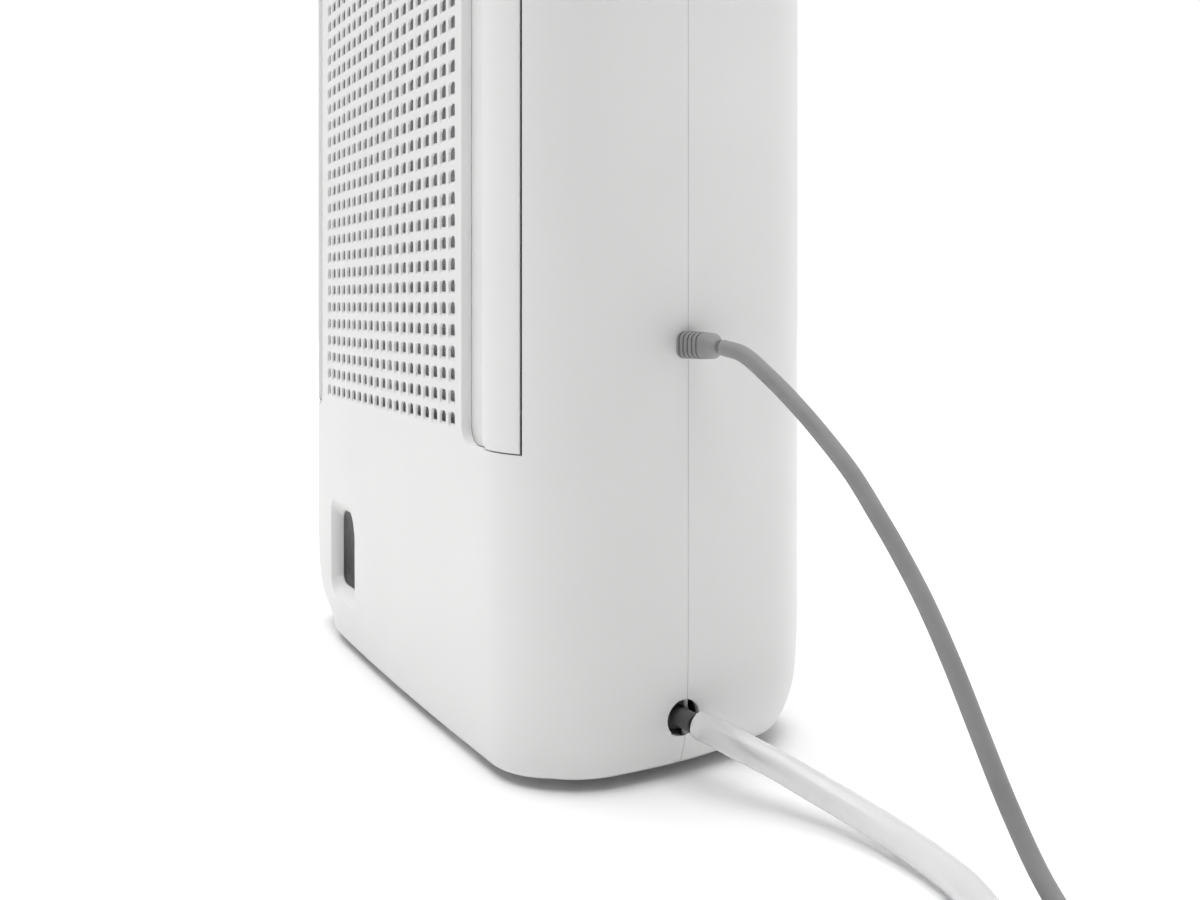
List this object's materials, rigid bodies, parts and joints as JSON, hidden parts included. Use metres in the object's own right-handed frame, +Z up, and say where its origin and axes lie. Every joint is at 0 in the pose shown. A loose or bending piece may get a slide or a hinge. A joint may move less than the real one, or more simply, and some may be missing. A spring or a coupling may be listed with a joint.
{
  "type": "dehumidifier",
  "caption": "Slim upright white desiccant dehumidifier with perforated intake face, side filter grips, water level window, front drawer tank, top louvre, mains lead and drain hose.",
  "frame": {"origin": "middle of the footprint, on the floor under the feet", "axes": "+Z up; +X along the width towards the side with the mains lead and the drain hose; +Y along the depth, away from the perforated intake face and towards the tank drawer"},
  "size_m": [0.655, 0.2501, 0.49],
  "materials": {
    "shell": "white ABS with a fine satin gloss",
    "trim": "light grey moulded plastic",
    "dark": "black moulded plastic",
    "smoked": "smoked clear plastic",
    "clear": "clear greyish plastic",
    "cord": "grey flexible PVC",
    "spout": "dark grey elastomer",
    "hose": "milky clear PVC",
    "mesh": "woven dust filter net",
    "float": "foamed white plastic",
    "zeolite": "corrugated zeolite paper honeycomb",
    "gear": "natural acetal",
    "board": "solder-masked circuit board",
    "galvanised": "galvanised sheet steel"
  },
  "bodies": {
    "housing": {"rear_shell": "shell", "front_shell": "shell", "base_pan": "shell", "foot_rear_left": "shell", "foot_rear_right": "shell", "foot_front_right": "shell", "foot_front_left": "shell", "base_screw_rear_left": "galvanised", "base_screw_rear_right": "galvanised", "base_screw_front_right": "galvanised", "base_screw_front_left": "galvanised", "top_cover": "shell", "outlet_duct": "trim", "outlet_vanes": "trim", "control_panel": "dark", "display_lens": "smoked", "control_board": "board", "level_window": "smoked", "condenser": "clear", "rotor_frame": "trim", "rotor_gear_motor": "galvanised", "heater": "galvanised", "fan_scroll": "trim", "fan_motor": "galvanised", "drip_tray": "trim", "drain_pipe": "clear", "drain_spout": "spout", "tank_switch": "dark", "louvre_motor": "trim", "humidity_sensor": "board", "power_board": "board", "strain_relief": "cord", "mains_cord": "cord", "mains_cord_coil": "cord", "mains_plug": "cord", "drain_hose": "hose", "drain_hose_coil": "hose"},
    "filter_right": {"filter_frame_right": "shell", "filter_mesh_right": "mesh"},
    "filter_left": {"filter_frame_left": "shell", "filter_mesh_left": "mesh"},
    "tank": {"tank_body": "clear", "tank_lid": "trim", "tank_front": "shell", "float_bracket": "trim"},
    "float": {"float_arm": "float", "float_block": "float"},
    "rotor": {"rotor_core": "zeolite", "rotor_hub": "gear", "rotor_ring_gear": "gear"},
    "pinion": {"rotor_pinion": "gear"},
    "blower": {"blower_wheel": "dark"},
    "louvre": {"louvre_flap": "shell"},
    "handle": {"carry_handle": "shell"},
    "power_key": {"power_button": "trim"},
    "humidity_key": {"humidity_button": "trim"},
    "fan_key": {"fan_button": "trim"},
    "timer_key": {"timer_button": "trim"}
  },
  "joints": [
    {"name": "filter_right_slide", "type": "slide", "parent": "housing", "child": "filter_right", "axis": [1, 0, 0], "range_m": [0, 0.11]},
    {"name": "filter_left_slide", "type": "slide", "parent": "housing", "child": "filter_left", "axis": [-1, 0, 0], "range_m": [0, 0.11]},
    {"name": "tank_slide", "type": "slide", "parent": "housing", "child": "tank", "axis": [0, 1, 0], "range_m": [0, 0.15]},
    {"name": "float_hinge", "type": "hinge", "parent": "tank", "child": "float", "pos_m": [0.092, 0.052, 0.034], "axis": [-1, 0, 0], "range_deg": [0, 40]},
    {"name": "rotor_spin", "type": "hinge", "parent": "housing", "child": "rotor", "pos_m": [-0.008, -0.03, 0.268], "axis": [0, 1, 0], "continuous": true},
    {"name": "pinion_spin", "type": "hinge", "parent": "housing", "child": "pinion", "pos_m": [0.07346, -0.03, 0.18654], "axis": [0, 1, 0], "continuous": true},
    {"name": "blower_spin", "type": "hinge", "parent": "housing", "child": "blower", "pos_m": [-0.008, 0.02, 0.268], "axis": [0, 1, 0], "continuous": true},
    {"name": "louvre_hinge", "type": "hinge", "parent": "housing", "child": "louvre", "pos_m": [0, -0.0036, 0.486], "axis": [1, 0, 0], "range_deg": [0, 75]},
    {"name": "handle_hinge", "type": "hinge", "parent": "housing", "child": "handle", "pos_m": [0, -0.028, 0.4835], "axis": [-1, 0, 0], "range_deg": [0, 90]},
    {"name": "power_press", "type": "slide", "parent": "housing", "child": "power_key", "axis": [0, 0, -1], "range_m": [0, 0.0012], "stiffness_N_per_m": 350},
    {"name": "humidity_press", "type": "slide", "parent": "housing", "child": "humidity_key", "axis": [0, 0, -1], "range_m": [0, 0.0012], "stiffness_N_per_m": 350},
    {"name": "fan_press", "type": "slide", "parent": "housing", "child": "fan_key", "axis": [0, 0, -1], "range_m": [0, 0.0012], "stiffness_N_per_m": 350},
    {"name": "timer_press", "type": "slide", "parent": "housing", "child": "timer_key", "axis": [0, 0, -1], "range_m": [0, 0.0012], "stiffness_N_per_m": 350}
  ],
  "couplings": [
    {"joint": "pinion_spin", "follows": "rotor_spin", "ratio": -5}
  ]
}
